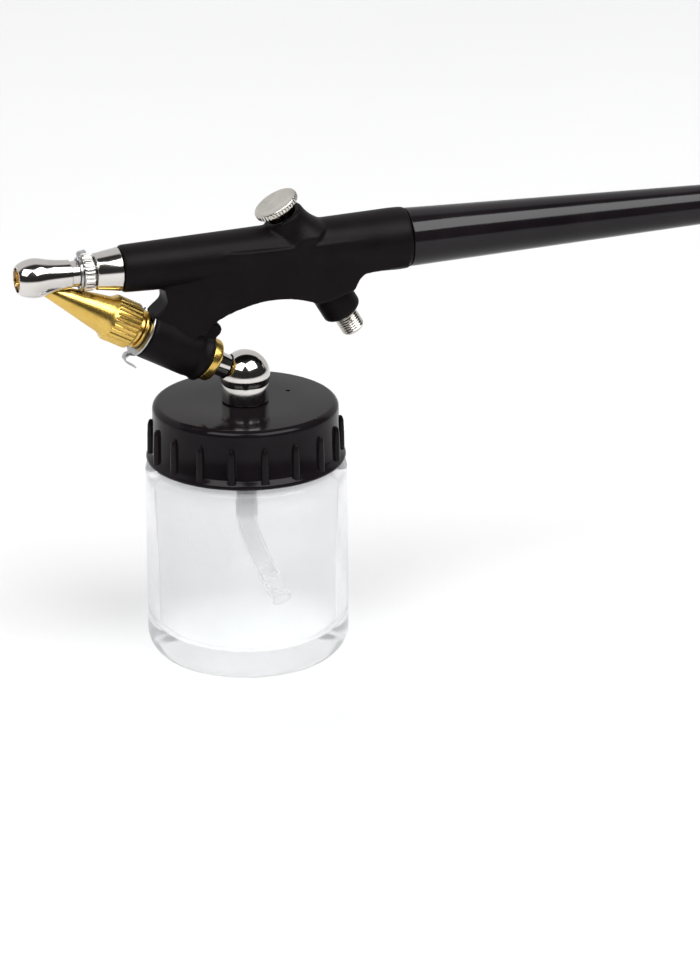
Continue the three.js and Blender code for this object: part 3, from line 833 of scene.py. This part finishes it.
addRearBush(bushSettings)
addArmTube(armSettings)
addTipCarrier(carrierSettings)
addClipRing(clipSettings)
addPaintCone(coneSettings)
print("paint line done")

buttonSettings = {"top": 10.9, "thickness": 1.6, "radius": 4.25, "teeth": 40, "depth": 0.05}


def addButton(s):
    top, wide = s["top"], s["radius"]
    bottom = top - s["thickness"]
    steps = s["teeth"] * 4
    obj = turnProfile("pressButton", [
        (0, bottom + 0.75), (1.3, bottom + 0.75), (1.3, bottom), (wide - 0.7, bottom),
        (wide - 0.1, bottom + 0.45),
        (wide, bottom + 0.6), (wide, top - 0.3), (wide - 0.15, top - 0.1), (wide - 0.4, top),
        *curvePoints([(wide - 0.7, top), (2.6, top - 0.2), (1.2, top - 0.32), (0, top - 0.35)], 5)],
        steps)
    fluteRing(obj, s["teeth"], steps, bottom + 0.5, top - 0.2, wide - 0.05, s["depth"], 1)
    softenEdges(obj, 0.04, 2, 25)
    smooth(placeIn(obj, valveFrame))
    return finish(obj, nickelValve, "button", "nickel", "button")


fittingSettings = {"end": -19.0, "top": -12.6, "radius": 2.2, "pitch": 0.5, "threadTop": -15.2}


def addAirFitting(s):
    wide = s["radius"]
    outer = [(wide - 0.3, s["end"])]
    z = s["end"] + 0.3
    while z < s["threadTop"] - 0.4:
        outer += [(wide - 0.26, z), (wide, z + s["pitch"] * 0.4), (wide, z + s["pitch"] * 0.55)]
        z += s["pitch"]
    outer += [(wide - 0.26, s["threadTop"] - 0.2), (wide, s["threadTop"]), (wide, s["top"])]
    obj = turnSleeve("airFitting", outer,
                     [(1.1, s["top"]), (1.1, s["end"] + 0.2), (1.3, s["end"])], 80)
    softenEdges(obj, 0.03, 1)
    smooth(placeIn(obj, valveFrame), 50)
    return finish(obj, nickelValve, "gun", "nickel", "air_fitting")


addButton(buttonSettings)
addAirFitting(fittingSettings)
print("valve done")

handleSettings = {"front": 30.95, "rear": 127.0, "frontRadius": 5.38, "rearRadius": 2.5}


def addHandle(s):
    f, r = s["front"], s["rear"]
    slope = (s["rearRadius"] - s["frontRadius"]) / (r - f)

    def at(x):
        return s["frontRadius"] + slope * (x - f)
    outer = [(s["frontRadius"] - 0.18, f), *arcPoints(at(f + 0.2) - 0.2, f + 0.2, 0.2, -60, 0, 4)]
    outer += [(at(x), x) for x in range(40, 124, 12)]
    outer += arcPoints(0, r - s["rearRadius"], s["rearRadius"], 4, 90, 12)
    bore = [(0, 112), (1.0, 112), (2.9, 48), (2.9, f)]
    obj = turnProfile("handleShell", outer + bore, 128, closed=True)
    smooth(placeIn(obj, barrelFrame))
    return finish(obj, handleBlack, "handle", "gloss_black", "handle")


addHandle(handleSettings)
print("handle done")

elbowSettings = {
    "radius": 4.6, "height": swivelJoint["pos_m"][2] / mm,
    "capTop": 48.8, "baseTop": 52.3, "baseRadius": 4.3,
}


def addElbow(s):
    wide, h, base = s["radius"], s["height"], s["baseTop"]
    obj = turnProfile("elbowDome", [
        (0, 39.1), (1.2, 39.1), (1.2, 42.8), (2.1, 42.8), (2.1, base + 0.2),
        *arcPoints(0, h, wide, -16, 90, 28)], 128)
    for radius, start, end, axis in ((0.7, 38, h + 0.5, None), (0.7, 0, 3, 1), (2.4, 2.4, 8, 1)):
        tool = turnProfile("bore", [(0, start), (radius, start), (radius, end), (0, end)], 64)
        if axis:
            local = paintFrame.copy()
            local.translation = local.translation / mm
            placeIn(tool, local, 1)
        cut(obj, tool)
    softenEdges(obj, 0.06, 2, 35)
    smooth(placeIn(obj, jarFrame), 40)
    return finish(obj, chromeUpright, "siphon", "chrome", "elbow")


def addElbowBase(s):
    low, high, wide = s["capTop"] + 0.2, s["baseTop"], s["baseRadius"]
    obj = turnSleeve("elbowCollar", [
        (wide - 0.08, low), (wide, low + 0.08), (wide, high)],
        [(2.4, high), (2.4, low)], 112)
    softenEdges(obj, 0.1, 3, 24)
    smooth(placeIn(obj, jarFrame))
    return finish(obj, chromeUpright, "siphon", "chrome", "elbow_base")


addElbow(elbowSettings)
addElbowBase(elbowSettings)
print("elbow done")

capSettings = {
    "bottom": 38.0, "top": 48.8, "radius": 17.05, "flange": 18.27, "bore": 15.9,
    "ribs": 18, "firstRib": -95.7, "ribHeight": 6.6, "stemHole": 2.4, "vent": (8.9, 2.4, 0.4),
}


def addCap(s):
    low, top, wide = s["bottom"], s["top"], s["radius"]
    obj = turnProfile("screwCap", [
        (s["bore"], low), (s["flange"] - 0.3, low), (s["flange"], low + 0.3),
        (s["flange"], low + 0.6),
        (s["flange"] - 0.2, low + 0.95), (wide + 0.35, low + 1.35), (wide + 0.1, low + 1.75),
        (wide, top - 1.7), *arcPoints(wide - 1.25, top - 1.25, 1.25, 4, 88, 10),
        (9.0, top), (0, top), (0, top - 1.3), (s["bore"], top - 1.3)], 190, closed=True)
    softenEdges(obj, 0.12, 3, 40)
    ribs = []
    for i in range(s["ribs"]):
        if not ribs:
            rib = turnProfile("rib", [
                (0, low + 0.9), (0.74, low + 0.9), (0.68, low + 4.4), (0.58, low + s["ribHeight"]),
                (0.42, low + s["ribHeight"] + 0.6), (0.2, low + s["ribHeight"] + 0.93),
                (0, low + s["ribHeight"] + 0.98)], 24)
        else:
            rib = ribs[0].copy()
            rib.data = ribs[0].data.copy()
            bpy.context.scene.collection.objects.link(rib)
        ribs.append(rib)
    for i, rib in enumerate(ribs):
        a = math.radians(s["firstRib"] + i * 360 / s["ribs"])
        place = Matrix.Rotation(a, 4, "Z") @ Matrix.Translation((wide + 0.26, 0, 0))
        placeIn(rib, place, 1)
    for rib in ribs:
        cut(obj, rib, "UNION")
    hole = turnProfile("hole", [
        (0, top - 3), (s["stemHole"], top - 3), (s["stemHole"], top + 1), (0, top + 1)], 64)
    cut(obj, hole)
    x, y, r = s["vent"]
    vent = turnProfile("vent", [
        (0, top - 3), (r, top - 3), (r, top - 0.15), (r + 0.12, top + 1), (0, top + 1)], 32)
    cut(obj, placeIn(vent, Matrix.Translation((x, y, 0)), 1))
    smooth(placeIn(obj, jarFrame), 35)
    return finish(obj, glossBlack, "siphon", "gloss_black", "jar_cap")


addCap(capSettings)
print("cap done")

jarSettings = {
    "radius": 18.5, "heel": 5.0, "wall": 2.1, "floor": 5.0, "shoulder": 37.2,
    "neck": 15.2, "neckTop": 46.6, "neckBore": 13.4,
}


def addJar(s):
    wide, heel, top = s["radius"], s["heel"], s["shoulder"]
    inside = wide - s["wall"]
    thread = []
    for z in (40.0, 42.8):
        thread += [(s["neck"], z), (s["neck"] + 0.3, z + 0.25), (s["neck"] + 0.45, z + 0.5),
                   (s["neck"] + 0.3, z + 0.75), (s["neck"], z + 1.0)]
    floorCurve = curvePoints([
        (12.6, s["floor"] + 0.25), (8.0, s["floor"] - 0.05), (0, s["floor"] + 0.1)], 4)
    shoulderCurve = curvePoints([
        (s["neckBore"] + 0.3, top - 0.6), (inside - 0.8, top - 2.2), (inside, top - 4.0)], 3)
    profile = [
        (0, 0.35), (8.0, 0.25), (wide - heel - 0.9, 0.0),
        *arcPoints(wide - heel, heel, heel, -90, 0, 18),
        (wide, 20.0), (wide, top - 2.2), *arcPoints(wide - 1.3, top - 1.3, 1.3, 4, 80, 7),
        (s["neck"] + 0.2, top + 0.35), (s["neck"], top + 0.6), *thread,
        (s["neck"], s["neckTop"] - 0.35), (s["neck"] - 0.35, s["neckTop"]),
        (s["neckBore"], s["neckTop"]), (s["neckBore"], top + 0.6), *shoulderCurve,
        (inside, 20.0), *arcPoints(inside - 3.4, s["floor"] + 3.6, 3.4, 0, -84, 12), *floorCurve]
    obj = turnProfile("glassJar", profile, 160)
    smooth(placeIn(obj, jarFrame), 60)
    return finish(obj, jarGlass, "jar", "glass", "jar")


addJar(jarSettings)
print("jar done")

tubeSettings = {
    "sleeve": (1.95, 1.65, 27.0, 42.5), "radius": 1.35, "bore": 0.85,
    "path": [(0, 0, 38.2), (0, 0, 31), (0.1, 0, 25.5), (2.8, 0, 17.5), (6.6, 0, 9.0)],
}


def addSleeve(s):
    wide, r, low, high = s["sleeve"]
    obj = turnSleeve("siphonSleeve", [(wide, low), (wide, high)], [(r, high), (r, low)], 48)
    softenEdges(obj, 0.08, 2)
    smooth(placeIn(obj, jarFrame))
    return finish(obj, clearTube, "siphon", "clear_tube", "siphon_sleeve")


def addTube(s):
    # a round ring, extruded and turned along the bend, then given its wall
    path = curvePoints(s["path"], 6)
    deselectAll()
    bpy.ops.mesh.primitive_circle_add(vertices=32, radius=s["radius"], location=(0, 0, 0))
    obj = bpy.context.object
    obj.name = "siphonTube"
    bpy.ops.object.mode_set(mode="EDIT")
    bpy.ops.mesh.select_all(action="SELECT")
    bpy.ops.transform.translate(value=path[0])
    heading = Vector((0, 0, -1))
    for i in range(1, len(path)):
        step = Vector(path[i]) - Vector(path[i - 1])
        ahead = Vector(path[min(i + 1, len(path) - 1)]) - Vector(path[i - 1])
        bpy.ops.mesh.extrude_edges_move(TRANSFORM_OT_translate={"value": step})
        # the bend lies in the XZ plane, and the operator turns the other way without a window
        angle = heading.angle(ahead) * (1 if heading.cross(ahead).y > 0 else -1)
        bpy.ops.transform.rotate(value=-angle, orient_axis="Y", center_override=path[i])
        heading = ahead.normalized()
    objectMode()
    wall = obj.modifiers.new("wall", "SOLIDIFY")
    wall.thickness = s["radius"] - s["bore"]
    wall.offset = -1
    wall.use_rim = True
    applyAll(obj)
    editMode(obj)
    cleanEdit()
    objectMode()
    softenEdges(obj, 0.06, 2, 50)
    smooth(placeIn(obj, jarFrame), 50)
    return finish(obj, clearTube, "siphon", "clear_tube", "siphon_tube")


addSleeve(tubeSettings)
addTube(tubeSettings)
print("siphon done")

# inner CAD nodes keep their shape and take a finish
innerFinishes = {
    "arm_seal": sealRubber, "fluid_needle": springSteel, "button_stem": nickelValve,
    "stem_guide": brassValve, "stem_o_ring": sealRubber, "valve_plunger": brassValve,
    "valve_seal": sealRubber, "valve_spring": springSteel, "handle_spigot": nickelPlain,
    "elbow_nut": nickelPlain, "cap_liner": foamLiner,
}
for nodeName, material in innerFinishes.items():
    mesh = nodes[nodeName].data
    mesh.materials.clear()
    mesh.materials.append(material)
print("inner pieces finished")

floorSettings = {"size": 8.0, "colour": (0.60, 0.60, 0.603), "shade": (0.57, 0.57, 0.573)}


def addFloor(s):
    deselectAll()
    bpy.ops.mesh.primitive_plane_add(size=s["size"], location=(0, 0, -0.00002))
    floor = bpy.context.object
    floor.name = "floor"
    bpy.ops.object.transform_apply(location=True, rotation=True, scale=True)
    floor.data.materials.append(makeFinish("paleFloor", {
        "colour": s["colour"], "shade": s["shade"], "roughness": (0.8, 0.9),
        "fineScale": 300, "cloudScale": 3, "bumpDepth": 0.00001, "sockets": {"Metallic": 0.0}}))


lightSettings = {
    "leftSoftbox": {"azimuth": -52, "elevation": 53, "distance": 1.1, "size": (0.62, 0.66),
                    "power": 9.4, "aim": (0.01, 0, 0.06), "reflected": True},
    "rightSoftbox": {"azimuth": 31, "elevation": 53, "distance": 1.1, "size": (0.9, 0.66),
                     "power": 13.8, "aim": (0.01, 0, 0.06), "reflected": True},
    # evens out the floor behind the airbrush and leaves the reflections alone
    "floorFill": {"azimuth": 180, "elevation": 62, "distance": 1.5, "size": (2.4, 1.6),
                  "power": 27, "aim": (0.05, 0.75, 0), "reflected": False},
}
roomSettings = {"darkUntil": 0.12, "brightFrom": 0.34, "dark": 0.03, "bright": 0.78}


def addLight(name, s):
    a, e = math.radians(s["azimuth"]), math.radians(s["elevation"])
    back = Vector((math.sin(a) * math.cos(e), -math.cos(a) * math.cos(e), math.sin(e)))
    data = bpy.data.lights.new(name, "AREA")
    data.shape = "RECTANGLE"
    data.size, data.size_y = s["size"]
    data.energy = s["power"]
    light = bpy.data.objects.new(name, data)
    bpy.context.scene.collection.objects.link(light)
    light.location = Vector(s["aim"]) + back * s["distance"]
    light.rotation_euler = back.to_track_quat("Z", "Y").to_euler()
    light.visible_glossy = s["reflected"]
    light.visible_transmission = s["reflected"]


def buildWorld(s):
    # a bright room behind and above, darker towards the camera
    world = bpy.data.worlds.new("room")
    bpy.context.scene.world = world
    world.use_nodes = True
    tree = world.node_tree
    background = tree.nodes["Background"]
    coord = tree.nodes.new("ShaderNodeTexCoord")
    split = tree.nodes.new("ShaderNodeSeparateXYZ")
    tree.links.new(coord.outputs["Generated"], split.inputs[0])
    depth = tree.nodes.new("ShaderNodeMapRange")
    depth.interpolation_type = "SMOOTHSTEP"
    for label, value in (("From Min", s["darkUntil"]), ("From Max", s["brightFrom"]),
                         ("To Min", s["dark"]), ("To Max", s["bright"])):
        depth.inputs[label].default_value = value
    tree.links.new(split.outputs["Y"], depth.inputs["Value"])
    tree.links.new(depth.outputs["Result"], background.inputs["Strength"])
    background.inputs["Color"].default_value = (1.0, 1.0, 1.0, 1)


addFloor(floorSettings)
buildWorld(roomSettings)
for lightName, settings in lightSettings.items():
    addLight(lightName, settings)
scene = bpy.context.scene
scene.view_settings.view_transform = "Standard"
scene.view_settings.exposure = 0.0
print("floor and light set")
